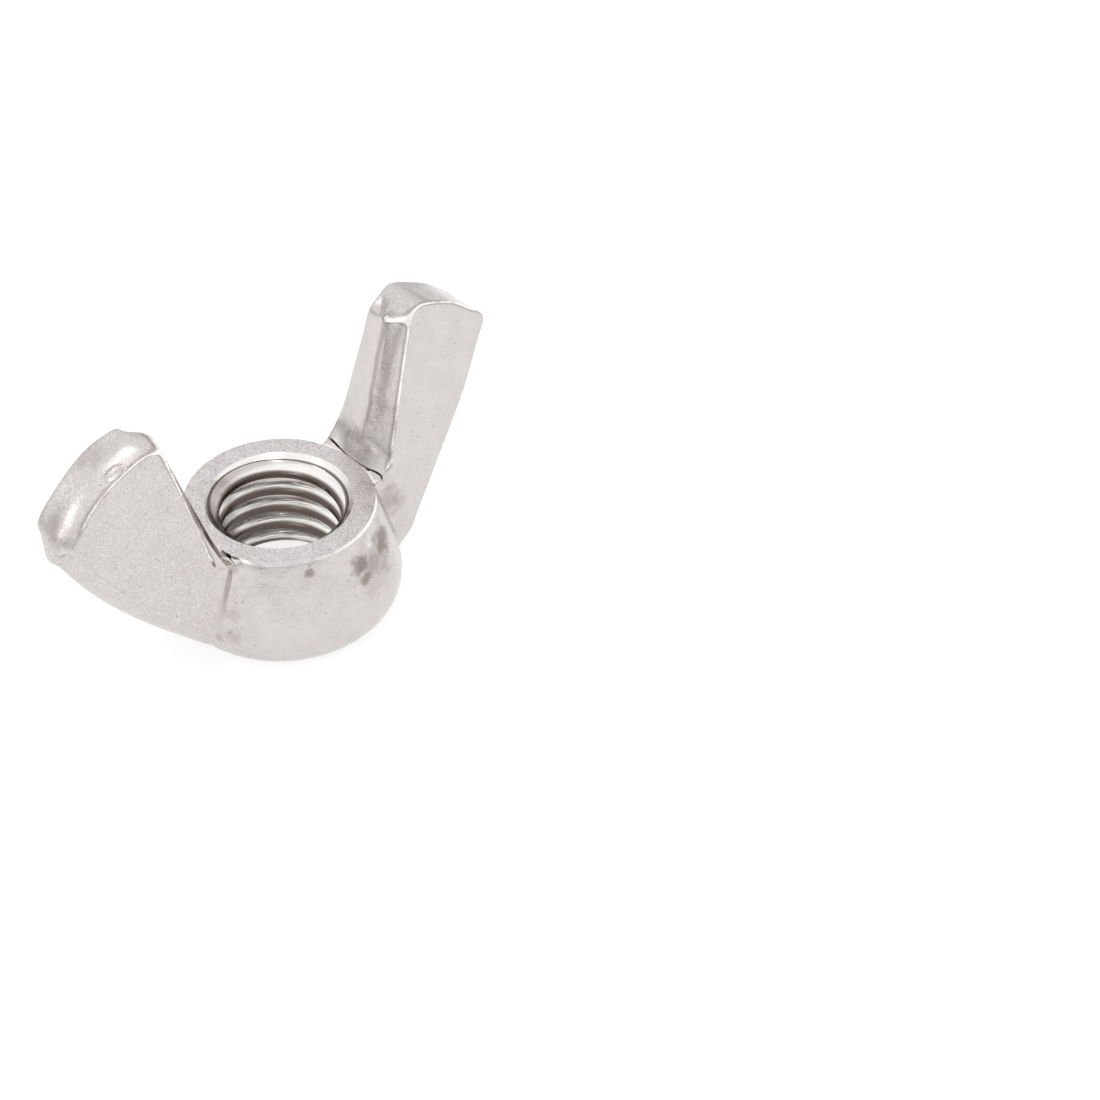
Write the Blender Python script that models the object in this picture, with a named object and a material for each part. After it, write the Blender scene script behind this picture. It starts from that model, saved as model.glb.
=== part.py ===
"""Wing nut, M8 coarse, right-hand thread: a round hub and two finger wings forged in one piece.

The hub stands on its seat face at z = 0 with the thread's axis on Z, and the wings lie along X.
The nut is one piece of metal, so the model is one closed solid: a turned hub joined to two
drafted wings, then faced, countersunk and tapped. Sizes are in metres.
"""
import math

import bmesh
import bpy
from mathutils import Vector

MM = 0.001

# Thread, metric coarse
THREAD_DIAMETER = 8.0 * MM
THREAD_PITCH = 1.25 * MM
THREAD_CREST_ANGLE = math.radians(-103.0)   # where a crest's middle is at the seat face's height
COUNTERSINK_CLEARANCE = 0.06 * MM           # countersink's mouth outside the thread's major radius

# Hub
HUB_HEIGHT = 6.65 * MM
TOP_RIM_WIDTH = 1.2 * MM                    # flat ring round the top countersink
SEAT_FLARE = 0.35 * MM                      # seat ring's edge outside the top ring's edge
BELLY_FLARE = 1.35 * MM                     # widest place outside the top ring's edge
BELLY_HEIGHT = 1.7 * MM

# Wings: corners of the side outline, before rounding
WING_SPAN = 29.2 * MM                       # between the lower tip corners
OVERALL_HEIGHT = 15.95 * MM                 # seat face to the upper tip corners
WING_MOUTH = 16.3 * MM                      # between the upper tip corners
TIP_DROP = 4.5 * MM                         # upper tip corner down to the lower one
UNDERSIDE_HEIGHT = 1.06 * MM                # where a wing's lower edge runs into the hub
TIP_CROWN = 1.15 * MM                       # height of the tip's arc over its chord
UNDERSIDE_CROWN = 0.75 * MM                 # bulge of the lower edge past its chord
CORNER_ROUND = 1.0 * MM                    # length taken off each side of a tip corner
ROOT_THICKNESS = 4.6 * MM                   # at the top ring's edge
TIP_THICKNESS = 2.65 * MM
INNER_BEVEL = 0.45 * MM                     # faces' edge set back from the parting line, inner edge
LOWER_BEVEL = 0.45 * MM                     # the same along the lower edge
TIP_BEVEL = 0.15 * MM                       # small break of the tip's edges
SHOULDER_SHARE = 0.35                       # part of a bevel's set-back taken above its last slope

# Facing cut over the hub, which also trims the wings' roots
FACING_CLEARANCE = 0.20 * MM                # cutter's radius outside the top ring
ROOT_OVERLAP = 0.2 * MM                     # how far the wings' roots start below the top face

ROUND_STEPS = 48
CURVE_STEPS = 8
CORNER_STEPS = 4
CUT_ALLOWANCE = 1.0 * MM                    # cutters run this far past what they cut
SMOOTH_ANGLE = math.radians(32.0)

METAL_COLOUR = (0.64, 0.61, 0.60, 1.0)
METAL_ROUGHNESS = 0.28

# Sizes that follow from the ones above
THREAD_HEIGHT = THREAD_PITCH * math.sqrt(3.0) / 2.0
MAJOR_RADIUS = THREAD_DIAMETER / 2.0
MINOR_RADIUS = MAJOR_RADIUS - THREAD_HEIGHT * 5.0 / 8.0
COUNTERSINK_RADIUS = MAJOR_RADIUS + COUNTERSINK_CLEARANCE
TOP_RADIUS = COUNTERSINK_RADIUS + TOP_RIM_WIDTH
SEAT_RADIUS = TOP_RADIUS + SEAT_FLARE
BELLY_RADIUS = TOP_RADIUS + BELLY_FLARE
FACING_RADIUS = TOP_RADIUS + FACING_CLEARANCE

ROOT = Vector((TOP_RADIUS, HUB_HEIGHT - ROOT_OVERLAP))
UPPER_TIP = Vector((WING_MOUTH / 2.0, OVERALL_HEIGHT))
LOWER_TIP = Vector((WING_SPAN / 2.0, OVERALL_HEIGHT - TIP_DROP))
UNDERSIDE = Vector((BELLY_RADIUS, UNDERSIDE_HEIGHT))
BURIED = MINOR_RADIUS / 2.0                 # the wings end inside the hub, where the bore is cut


def curve_point(start, control, end, t):
    """Point at t, from 0 to 1, on the arc that leaves start and reaches end along control."""
    return start * (1 - t) ** 2 + control * 2 * t * (1 - t) + end * t ** 2


def crown_control(start, end, crown, outward):
    """Control point of an arc from start to end that rises by crown over its chord."""
    chord = end - start
    normal = Vector((-chord.y, chord.x)).normalized()
    if normal.dot(outward) < 0:
        normal.negate()
    return (start + end) / 2 + normal * 2 * crown


def corner(before, point, after, steps=CORNER_STEPS):
    """Points strictly between before and after that round off the corner at point."""
    return [curve_point(before, point, after, i / steps) for i in range(1, steps)]


def wing_outline():
    """Side outline of one wing as (point, bevel) pairs, from the root round the tip to the hub."""
    tip_control = crown_control(UPPER_TIP, LOWER_TIP, TIP_CROWN, Vector((1, 1)))
    low_control = crown_control(LOWER_TIP, UNDERSIDE, UNDERSIDE_CROWN, Vector((1, -1)))
    tip_trim = CORNER_ROUND / (LOWER_TIP - UPPER_TIP).length
    low_trim = CORNER_ROUND / (UNDERSIDE - LOWER_TIP).length
    inner_end = UPPER_TIP + (ROOT - UPPER_TIP).normalized() * CORNER_ROUND

    tip = []
    for i in range(CURVE_STEPS + 1):
        t = tip_trim + (1 - 2 * tip_trim) * i / CURVE_STEPS
        tip.append(curve_point(UPPER_TIP, tip_control, LOWER_TIP, t))
    low = []
    for i in range(CURVE_STEPS + 1):
        t = low_trim + (1 - low_trim) * i / CURVE_STEPS
        low.append(curve_point(LOWER_TIP, low_control, UNDERSIDE, t))

    outline = [(Vector((BURIED, ROOT.y)), INNER_BEVEL), (ROOT, INNER_BEVEL), (inner_end, INNER_BEVEL)]
    outline += [(p, (INNER_BEVEL + TIP_BEVEL) / 2) for p in corner(inner_end, UPPER_TIP, tip[0])]
    outline += [(p, TIP_BEVEL) for p in tip]
    outline += [(p, (TIP_BEVEL + LOWER_BEVEL) / 2) for p in corner(tip[-1], LOWER_TIP, low[0])]
    outline += [(p, LOWER_BEVEL) for p in low]
    outline.append((Vector((BURIED, UNDERSIDE_HEIGHT)), LOWER_BEVEL))
    return outline


def half_thickness(point):
    """Half the wing's thickness at a point of its side outline: the faces are drafted planes."""
    start = Vector((TOP_RADIUS, HUB_HEIGHT))
    along = (UPPER_TIP + LOWER_TIP) / 2 - start
    share = (point - start).dot(along) / along.length_squared
    return (ROOT_THICKNESS + (TIP_THICKNESS - ROOT_THICKNESS) * share) / 2


def inset(points, amounts):
    """Each point moved inwards, square to the outline's run, by its amount."""
    moved = []
    for i, point in enumerate(points):
        run = points[(i + 1) % len(points)] - points[i - 1]
        inward = Vector((run.y, -run.x)).normalized()
        moved.append(point + inward * amounts[i])
    return moved


def wing_rows(side):
    """The wing's outline at five stations through its thickness, as rows of 3-D points."""
    outline = wing_outline()
    points = [point for point, _ in outline]
    bevels = [bevel for _, bevel in outline]
    face = inset(points, bevels)
    shoulder = inset(points, [(b - TIP_BEVEL) * SHOULDER_SHARE for b in bevels])
    for ring in (face, shoulder):
        setback = (ring[1] - ROOT).length
        ring[:2] = [points[0], ROOT + Vector((setback, 0.0))]
    rows = []
    for level in (-2, -1, 0, 1, 2):
        ring = {0: points, 1: shoulder, 2: face}[abs(level)]
        row = []
        for point, bevel in zip(ring, bevels):
            full = half_thickness(point)
            y = {0: 0.0, 1: full - bevel, 2: full}[abs(level)]
            row.append(Vector((side * point.x, math.copysign(y, level), point.y)))
        rows.append(row)
    return rows


def mesh_object(name, mesh_builder):
    """New object whose mesh the builder fills, with every face turned outwards."""
    mesh = bpy.data.meshes.new(name)
    bm = bmesh.new()
    mesh_builder(bm)
    bmesh.ops.triangulate(bm, faces=bm.faces)
    bmesh.ops.recalc_face_normals(bm, faces=bm.faces)
    bm.to_mesh(mesh)
    bm.free()
    made = bpy.data.objects.new(name, mesh)
    bpy.context.scene.collection.objects.link(made)
    return made


def fill_wing(bm, side):
    """One wing: its five outlines joined by strips and closed by the two flat faces."""
    rows = [[bm.verts.new(p) for p in row] for row in wing_rows(side)]
    for near, far in zip(rows, rows[1:]):
        for i, vert in enumerate(near):
            bm.faces.new((vert, near[i - 1], far[i - 1], far[i]))
    bm.faces.new(rows[0])
    bm.faces.new(rows[-1])


def fill_turned(bm, profile):
    """Solid of revolution about Z from (radius, height) points."""
    verts = [bm.verts.new((radius, 0.0, height)) for radius, height in profile]
    edges = [bm.edges.new(pair) for pair in zip(verts, verts[1:])]
    bmesh.ops.spin(bm, geom=verts + edges, cent=(0, 0, 0), axis=(0, 0, 1),
                   angle=2 * math.pi, steps=ROUND_STEPS, use_merge=True)
    bmesh.ops.remove_doubles(bm, verts=bm.verts, dist=THREAD_PITCH / 1000)


def hub_profile():
    """Half section of the hub: seat ring, rounded belly, flank narrowing to the top ring."""
    seat = Vector((SEAT_RADIUS, 0.0))
    belly = Vector((BELLY_RADIUS, BELLY_HEIGHT))
    top = Vector((TOP_RADIUS, HUB_HEIGHT))
    seat_control = Vector((BELLY_RADIUS, BELLY_HEIGHT / 8))
    flank_control = Vector((BELLY_RADIUS, BELLY_HEIGHT + (HUB_HEIGHT - BELLY_HEIGHT) / 5))
    steps = CURVE_STEPS // 2
    low = [curve_point(seat, seat_control, belly, i / steps) for i in range(steps)]
    high = [curve_point(belly, flank_control, top, i / steps) for i in range(steps + 1)]
    return [(0.0, 0.0)] + [tuple(p) for p in low + high] + [(0.0, HUB_HEIGHT)]


def countersink_profile(face_height, outward):
    """Cone of 90 degrees whose mouth lies on a face; outward is +1 on top and -1 underneath."""
    depth = COUNTERSINK_RADIUS - BURIED
    return [(0.0, face_height - outward * depth), (BURIED, face_height - outward * depth),
            (COUNTERSINK_RADIUS + CUT_ALLOWANCE, face_height + outward * CUT_ALLOWANCE),
            (0.0, face_height + outward * CUT_ALLOWANCE)]


def thread_rows():
    """(height share of a pitch, radius) of the tapped profile: crest, flank, root, flank."""
    return [(-1 / 8, MINOR_RADIUS), (1 / 8, MINOR_RADIUS), (7 / 16, MAJOR_RADIUS), (9 / 16, MAJOR_RADIUS)]


def fill_tap(bm):
    """Screw-shaped cutter: rows of points climb one pitch per turn and meet the row above."""
    profile = thread_rows()
    per_turn = len(profile)
    turns = math.ceil((HUB_HEIGHT + 2 * CUT_ALLOWANCE) / THREAD_PITCH) + 2
    start_angle = THREAD_CREST_ANGLE % (2 * math.pi)
    rows = []
    for i in range(turns * per_turn + 1):
        share, radius = profile[i % per_turn]
        base = (i // per_turn - 2 + share) * THREAD_PITCH
        row = []
        for j in range(ROUND_STEPS):
            angle = start_angle + 2 * math.pi * j / ROUND_STEPS
            height = base + THREAD_PITCH * j / ROUND_STEPS
            row.append(bm.verts.new((radius * math.cos(angle), radius * math.sin(angle), height)))
        rows.append(row)
    for i in range(len(rows) - 1):
        for j in range(ROUND_STEPS - 1):
            bm.faces.new((rows[i][j], rows[i][j + 1], rows[i + 1][j + 1], rows[i + 1][j]))
    for i in range(len(rows) - 1 - per_turn):
        above = i + per_turn
        bm.faces.new((rows[i][-1], rows[above][0], rows[above + 1][0], rows[i + 1][-1]))
    last = len(rows) - 1
    lower_rim = rows[0] + [rows[i][0] for i in range(per_turn, 0, -1)]
    upper_rim = rows[last] + [rows[i][-1] for i in range(last - 1, last - per_turn - 1, -1)]
    for rim, height in ((lower_rim, rows[0][0].co.z), (upper_rim, rows[last][-1].co.z)):
        middle = bm.verts.new((0.0, 0.0, height))
        for i, vert in enumerate(rim):
            bm.faces.new((middle, rim[i - 1], vert))


def cut(target, tool, operation):
    """Apply tool to target as a live Boolean and keep the tool itself out of the model."""
    tool.hide_render = True
    tool.display_type = 'WIRE'
    modifier = target.modifiers.new(tool.name, 'BOOLEAN')
    modifier.operation = operation
    modifier.solver = 'EXACT'
    modifier.object = tool


def metal_material():
    """Bright plain metal of the whole nut."""
    material = bpy.data.materials.new('bright_metal')
    material.use_nodes = True
    shader = material.node_tree.nodes['Principled BSDF']
    shader.inputs['Base Color'].default_value = METAL_COLOUR
    shader.inputs['Metallic'].default_value = 1.0
    shader.inputs['Roughness'].default_value = METAL_ROUGHNESS
    return material


def build_nut():
    """Join the wings to the hub, then face, countersink and tap it."""
    nut = mesh_object('wing_nut', lambda bm: fill_turned(bm, hub_profile()))
    for name, side in (('right_wing_blank', 1), ('left_wing_blank', -1)):
        wing = mesh_object(name, lambda bm, side=side: fill_wing(bm, side))
        cut(nut, wing, 'UNION')
    facing = [(0.0, HUB_HEIGHT), (FACING_RADIUS, HUB_HEIGHT),
              (FACING_RADIUS, OVERALL_HEIGHT), (0.0, OVERALL_HEIGHT)]
    cut(nut, mesh_object('facing_cutter', lambda bm: fill_turned(bm, facing)), 'DIFFERENCE')
    for name, height, outward in (('top_countersink', HUB_HEIGHT, 1), ('seat_countersink', 0.0, -1)):
        profile = countersink_profile(height, outward)
        cut(nut, mesh_object(name, lambda bm, p=profile: fill_turned(bm, p)), 'DIFFERENCE')
    cut(nut, mesh_object('tap', fill_tap), 'DIFFERENCE')
    nut.data.materials.append(metal_material())
    nut.data.shade_smooth()
    nut.data.set_sharp_from_angle(angle=SMOOTH_ANGLE)


for old in list(bpy.data.objects):
    bpy.data.objects.remove(old, do_unlink=True)
build_nut()
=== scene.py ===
"""Wing nut, M8 coarse: one forging with two finger wings, faced, countersunk and tapped.

The nut is shaped as it is made. A blank is turned, the wings are drawn out of its sides, and the
forging is smoothed and given its skin. Then the seat and the top ring are faced, both mouths are
countersunk and the thread is tapped. Sizes are in metres, with the thread's axis on Z.
"""
import logging
import math
from dataclasses import dataclass, field
from enum import Enum
from typing import Callable, Iterable

import bmesh
import bpy
from mathutils import Matrix, Vector


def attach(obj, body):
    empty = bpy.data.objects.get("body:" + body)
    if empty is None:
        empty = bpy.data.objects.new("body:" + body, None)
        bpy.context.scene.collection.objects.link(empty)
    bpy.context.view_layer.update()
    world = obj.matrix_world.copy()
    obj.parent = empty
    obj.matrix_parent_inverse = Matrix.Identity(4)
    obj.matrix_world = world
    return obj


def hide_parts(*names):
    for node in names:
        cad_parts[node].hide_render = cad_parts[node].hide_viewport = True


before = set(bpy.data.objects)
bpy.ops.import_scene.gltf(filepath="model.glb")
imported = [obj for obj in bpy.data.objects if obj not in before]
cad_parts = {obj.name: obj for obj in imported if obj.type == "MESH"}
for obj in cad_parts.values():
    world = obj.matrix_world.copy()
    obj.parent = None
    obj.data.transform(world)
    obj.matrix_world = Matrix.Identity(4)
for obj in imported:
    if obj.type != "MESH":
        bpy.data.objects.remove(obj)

MM = 0.001
LOG = logging.getLogger("wing_nut")
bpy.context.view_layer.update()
CAD_NODE = "wing_nut"

# Marks that the wings leave on the mesh for the painted highlights and painted shade: 1 along a crisp
# edge, and 1 on a bevel.
RIM = "rim"
BEVEL = "bevel"
ON_RIM = 1.0
BESIDE_RIM = 0.4
ON_BEVEL = 1.0
BEVEL_FOOT = 0.65


class Reach(Enum):
    """The way a wing points along X."""

    RIGHT = 1
    LEFT = -1


class Corner(Enum):
    """How tightly an edge of the forging is rounded, as a crease value."""

    CRISP = 0.8
    BROKEN = 0.55
    SOFT = 0.25


# ---------------------------------------------------------------------------------------------
# Hand tools
# ---------------------------------------------------------------------------------------------

def clear_selection() -> None:
    """Deselect every object, so that the next operator acts on nothing by accident."""
    for other in list(bpy.context.selected_objects):
        other.select_set(False)


def make_active(piece: bpy.types.Object) -> None:
    """Select one piece alone and make it the active one.

    Args:
        piece: the piece.
    """
    clear_selection()
    piece.select_set(True)
    bpy.context.view_layer.objects.active = piece


def added(name: str) -> bpy.types.Object:
    """Name the primitive that was just added.

    Args:
        name: plain name of the piece.

    Returns:
        The new object.
    """
    piece = bpy.context.active_object
    piece.name = name
    piece.data.name = name
    return piece


def pick(mesh: bmesh.types.BMesh, wanted: Callable[[bmesh.types.BMFace], bool]) -> int:
    """Select exactly the faces of an edit mesh that pass a test.

    Args:
        mesh: the edit mesh.
        wanted: test on a face.

    Returns:
        How many faces are selected.
    """
    for face in mesh.faces:
        face.select_set(False)
    for edge in mesh.edges:
        edge.select_set(False)
    for vert in mesh.verts:
        vert.select_set(False)
    count = 0
    for face in mesh.faces:
        if wanted(face):
            face.select_set(True)
            count += 1
    mesh.select_flush_mode()
    return count


def apply_modifier(piece: bpy.types.Object, name: str) -> None:
    """Apply one modifier of a piece for good.

    Args:
        piece: the piece.
        name: the modifier's name.
    """
    make_active(piece)
    bpy.ops.object.modifier_apply(modifier=name)


def arc(start: Vector, control: Vector, end: Vector, share: float) -> Vector:
    """Point at share, 0 to 1, of the curve that leaves start and reaches end along control."""
    return start * (1 - share) ** 2 + control * 2 * share * (1 - share) + end * share ** 2


def crowned(start: Vector, end: Vector, crown: float, outward: Vector) -> Vector:
    """Control point of a curve that rises by crown over its chord.

    Args:
        start: first end of the chord.
        end: second end of the chord.
        crown: height of the curve over the chord's middle.
        outward: rough direction in which the curve bulges.

    Returns:
        The control point.
    """
    chord = end - start
    normal = Vector((-chord.y, chord.x)).normalized()
    if normal.dot(outward) < 0:
        normal.negate()
    return (start + end) / 2 + normal * 2 * crown


# ---------------------------------------------------------------------------------------------
# Finishes
# ---------------------------------------------------------------------------------------------

Socket = bpy.types.NodeSocket
Colour = tuple[float, float, float]
Point = tuple[float, float, float]
Layer = bmesh.types.BMLayerItem


class Wiring:
    """Short-hand for laying out a material's nodes."""

    def __init__(self, name: str) -> None:
        """Start an empty metal.

        Args:
            name: the material's name.
        """
        self.material = bpy.data.materials.new(name)
        self.material.use_nodes = True
        self.tree = self.material.node_tree
        self.shader = self.tree.nodes["Principled BSDF"]
        self.shader.inputs["Metallic"].default_value = 1.0
        self.place = self.tree.nodes.new("ShaderNodeTexCoord").outputs["Object"]

    def join(self, value: Socket | float, target: Socket) -> None:
        """Link a socket to a target, or set the target to a plain number.

        Args:
            value: socket or number.
            target: input that gets it.
        """
        if isinstance(value, (int, float)):
            target.default_value = value
        else:
            self.tree.links.new(value, target)

    def math(self, operation: str, first: Socket | float, second: Socket | float = 0.0) -> Socket:
        """One step of arithmetic.

        Args:
            operation: name of the Math node's operation.
            first: first value.
            second: second value.

        Returns:
            The result.
        """
        node = self.tree.nodes.new("ShaderNodeMath")
        node.operation = operation
        self.join(first, node.inputs[0])
        self.join(second, node.inputs[1])
        return node.outputs[0]

    def noise(self, size: float, detail: float = 2.0, at: Socket | None = None) -> Socket:
        """Smooth noise on the piece.

        Args:
            size: rough size of its features.
            detail: how many finer layers lie on top.
            at: place that the noise is read at, or the place on the piece.

        Returns:
            The noise, around 0.5.
        """
        node = self.tree.nodes.new("ShaderNodeTexNoise")
        node.inputs["Scale"].default_value = 1.0 / size
        node.inputs["Detail"].default_value = detail
        self.tree.links.new(at or self.place, node.inputs["Vector"])
        return node.outputs["Fac"]

    def cells(self, size: float) -> Socket:
        """Distance from the nearest of many scattered points.

        Args:
            size: rough distance between the points.

        Returns:
            The distance, as a share of size.
        """
        node = self.tree.nodes.new("ShaderNodeTexVoronoi")
        node.inputs["Scale"].default_value = 1.0 / size
        self.tree.links.new(self.place, node.inputs["Vector"])
        return node.outputs["Distance"]

    def ramp(self, value: Socket, start: float, end: float, low: float = 0.0, high: float = 1.0) -> Socket:
        """Map a value smoothly from start..end to low..high.

        Args:
            value: what is mapped.
            start: value that gives low.
            end: value that gives high.
            low: result at start.
            high: result at end.

        Returns:
            The result.
        """
        node = self.tree.nodes.new("ShaderNodeMapRange")
        node.interpolation_type = "SMOOTHSTEP"
        for name, number in (("From Min", start), ("From Max", end), ("To Min", low), ("To Max", high)):
            node.inputs[name].default_value = number
        self.tree.links.new(value, node.inputs["Value"])
        return node.outputs["Result"]

    def mix(self, share: Socket, first: Socket | Colour, second: Socket | Colour) -> Socket:
        """Blend two colours.

        Args:
            share: 0 gives the first, 1 the second.
            first: colour or socket.
            second: colour or socket.

        Returns:
            The blended colour.
        """
        node = self.tree.nodes.new("ShaderNodeMix")
        node.data_type = "RGBA"
        self.tree.links.new(share, node.inputs["Factor"])
        for value, target in ((first, node.inputs[6]), (second, node.inputs[7])):
            if isinstance(value, tuple):
                target.default_value = (*value, 1.0)
            else:
                self.tree.links.new(value, target)
        return node.outputs[2]

    def bumped(self, height: Socket, depth: float, before: Socket | None = None) -> Socket:
        """Raise the surface by a relief.

        Args:
            height: the relief, 0 to 1.
            depth: how high 1 stands.
            before: an earlier relief that this one lies on.

        Returns:
            The bumped normal.
        """
        node = self.tree.nodes.new("ShaderNodeBump")
        node.inputs["Strength"].default_value = 1.0
        node.inputs["Distance"].default_value = depth
        self.tree.links.new(height, node.inputs["Height"])
        if before is not None:
            self.tree.links.new(before, node.inputs["Normal"])
        return node.outputs["Normal"]

    def distance(self, centre: Point) -> Socket:
        """How far the surface is from a point.

        Args:
            centre: the point, in millimetres.

        Returns:
            The distance, in metres.
        """
        node = self.tree.nodes.new("ShaderNodeVectorMath")
        node.operation = "DISTANCE"
        self.tree.links.new(self.place, node.inputs[0])
        node.inputs[1].default_value = tuple(value * MM for value in centre)
        return node.outputs["Value"]

    def axes(self) -> tuple[Socket, Socket, Socket]:
        """Split the place on the piece.

        Returns:
            The place along X, Y and Z.
        """
        node = self.tree.nodes.new("ShaderNodeSeparateXYZ")
        self.tree.links.new(self.place, node.inputs["Vector"])
        return node.outputs["X"], node.outputs["Y"], node.outputs["Z"]

    def radius(self) -> Socket:
        """Distance from the thread's axis.

        Returns:
            The distance.
        """
        x, y, _ = self.axes()
        squares = self.math("ADD", self.math("MULTIPLY", x, x), self.math("MULTIPLY", y, y))
        return self.math("SQRT", squares)

    def mark(self, name: str) -> Socket:
        """Read a mark that the modelling left on the mesh.

        Args:
            name: the mark's name.

        Returns:
            The mark, 0 to 1.
        """
        node = self.tree.nodes.new("ShaderNodeAttribute")
        node.attribute_name = name
        return node.outputs["Fac"]

    def finished(self, colour: Socket, roughness: Socket, normal: Socket) -> bpy.types.Material:
        """Wire the three results to the shader.

        Args:
            colour: base colour.
            roughness: roughness.
            normal: bumped normal.

        Returns:
            The material.
        """
        self.tree.links.new(colour, self.shader.inputs["Base Color"])
        self.tree.links.new(roughness, self.shader.inputs["Roughness"])
        self.tree.links.new(normal, self.shader.inputs["Normal"])
        return self.material


@dataclass(frozen=True)
class SkinPatch:
    """A round patch on the skin, for stains, painted shade and painted glints: its centre and radius in
    millimetres, and its strength, 0 to 1.
    """

    centre: Point
    radius: float
    strength: float


@dataclass(frozen=True)
class ForgedSkin:
    """The skin of the forging: bright, with a sandy grain, pits, slight waves and stains, and with painted
    shade, a painted dark reflection and painted highlights.
    """

    name: str = "forged_skin"
    bright: Colour = (0.635, 0.60, 0.585)
    dull: Colour = (0.605, 0.57, 0.56)
    # The dark colour below is forge scale in the grain, pits, parting line and stains, and also painted
    # shade: on the bevel, beside the crisp edges, on the hub's front and along the left wing's root.
    scale: Colour = (0.23, 0.185, 0.165)
    # The light colour below is that of the light grain, and of the painted glints and the painted
    # highlights on the crisp edges and the lip.
    light_grain_and_highlight: Colour = (0.93, 0.91, 0.90)
    roughness: tuple[float, float] = (0.15, 0.24)
    grain: float = 0.11 * MM
    peel: float = 0.42 * MM
    wave: float = 2.4 * MM
    pit: float = 0.75 * MM
    line_width: float = 0.24 * MM
    lip_radius: float = 5.46 * MM
    lip_height: float = 6.42 * MM
    # Patches of painted glints: painted highlights on the left wing's tip and just under the top ring's
    # lip.
    painted_glints: tuple[SkinPatch, ...] = (
        SkinPatch((-12.3, 0.35, 13.6), 1.9, 0.55),
        SkinPatch((-11.3, 0.60, 14.5), 1.1, 0.45),
        SkinPatch((1.85, -5.25, 5.75), 0.55, 0.95),
    )
    # Painted shade and stains: the first six patches are a painted dark reflection on the front of the
    # hub, the three at y = -2.95 are painted shade in the corner where the left wing meets the hub, and
    # the others darken the skin in patches.
    shade_and_stain_patches: tuple[SkinPatch, ...] = (
        SkinPatch((3.08, -4.92, 5.05), 1.35, 0.88),
        SkinPatch((0.90, -5.72, 5.00), 1.05, 0.82),
        SkinPatch((1.00, -5.95, 4.20), 0.75, 0.78),
        SkinPatch((2.60, -5.40, 3.90), 1.30, 0.45),
        SkinPatch((1.80, -5.55, 4.60), 1.30, 0.55),
        SkinPatch((2.00, -5.60, 4.50), 2.60, 0.28),
        SkinPatch((-2.14, -5.10, 5.90), 0.42, 0.70),
        SkinPatch((5.90, 0.60, 7.60), 0.90, 0.45),
        SkinPatch((6.05, -0.70, 7.30), 0.60, 0.35),
        SkinPatch((5.60, -3.00, 4.80), 1.60, 0.50),
        SkinPatch((-5.15, -2.10, 6.00), 0.55, 0.60),
        SkinPatch((-5.90, -2.75, 2.30), 0.35, 0.45),
        SkinPatch((-5.60, -2.95, 4.80), 0.70, 0.28),
        SkinPatch((-5.80, -2.95, 3.50), 0.70, 0.28),
        SkinPatch((-5.90, -2.95, 2.10), 0.70, 0.28),
        SkinPatch((-7.50, -1.95, 3.20), 0.60, 0.22),
        SkinPatch((-10.90, 0.90, 14.90), 1.30, 0.30),
        SkinPatch((-13.40, 0.10, 12.40), 1.10, 0.32),
    )

    def shade_and_stains(self, wiring: Wiring) -> Socket:
        """Lay down the stains, and the painted shade and painted dark reflection, with ragged edges.

        Args:
            wiring: the material's wiring.

        Returns:
            How dark the stains and the painted shade make the skin, 0 to 1.
        """
        ragged = wiring.noise(0.50 * MM, 4.0)
        total: Socket | float = 0.0
        for dark_patch in self.shade_and_stain_patches:
            away = wiring.distance(dark_patch.centre)
            frayed = wiring.math("MULTIPLY_ADD", ragged, 1.2 * dark_patch.radius * MM)
            frayed.node.inputs[2].default_value = -0.60 * dark_patch.radius * MM
            reach = wiring.math("ADD", away, frayed)
            depth = wiring.ramp(reach, dark_patch.radius * MM, 0.15 * dark_patch.radius * MM, 0.0, dark_patch.strength)
            total = wiring.math("MAXIMUM", depth, total)
        return total

    def parting(self, wiring: Wiring) -> Socket:
        """Draw the dark line where the two dies met, down the middle of each inner edge.

        Args:
            wiring: the material's wiring.

        Returns:
            How much the line shows, 0 to 1.
        """
        x, y, z = wiring.axes()
        sway = wiring.math("MULTIPLY", wiring.noise(1.6 * MM), 0.35 * MM)
        shifted = wiring.math("SUBTRACT", wiring.math("ADD", y, sway), 0.17 * MM)
        near = wiring.ramp(wiring.math("ABSOLUTE", shifted), self.line_width, 0.05 * MM)
        lean = wiring.math("MULTIPLY", z, 0.24)
        beyond = wiring.math("SUBTRACT", wiring.math("ABSOLUTE", x), lean)
        inner = wiring.ramp(beyond, 5.2 * MM, 4.8 * MM)
        above = wiring.ramp(z, 7.2 * MM, 9.0 * MM)
        below = wiring.ramp(z, 15.0 * MM, 14.7 * MM)
        both = wiring.math("MULTIPLY", near, inner)
        return wiring.math("MULTIPLY", both, wiring.math("MULTIPLY", above, below))

    def lip(self, wiring: Wiring) -> Socket:
        """Paint a highlight on the lip round the top ring, broken here and there.

        Args:
            wiring: the material's wiring.

        Returns:
            How strong the painted highlight on the lip is, 0 to 1.
        """
        _, _, z = wiring.axes()
        inside = wiring.ramp(wiring.radius(), self.lip_radius, self.lip_radius - 0.10 * MM)
        high = wiring.ramp(z, self.lip_height, self.lip_height + 0.10 * MM)
        painted_light_share = wiring.ramp(wiring.noise(1.3 * MM, 3.0), 0.24, 0.42, 0.25, 1.0)
        return wiring.math("MULTIPLY", wiring.math("MULTIPLY", inside, high), painted_light_share)

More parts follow.
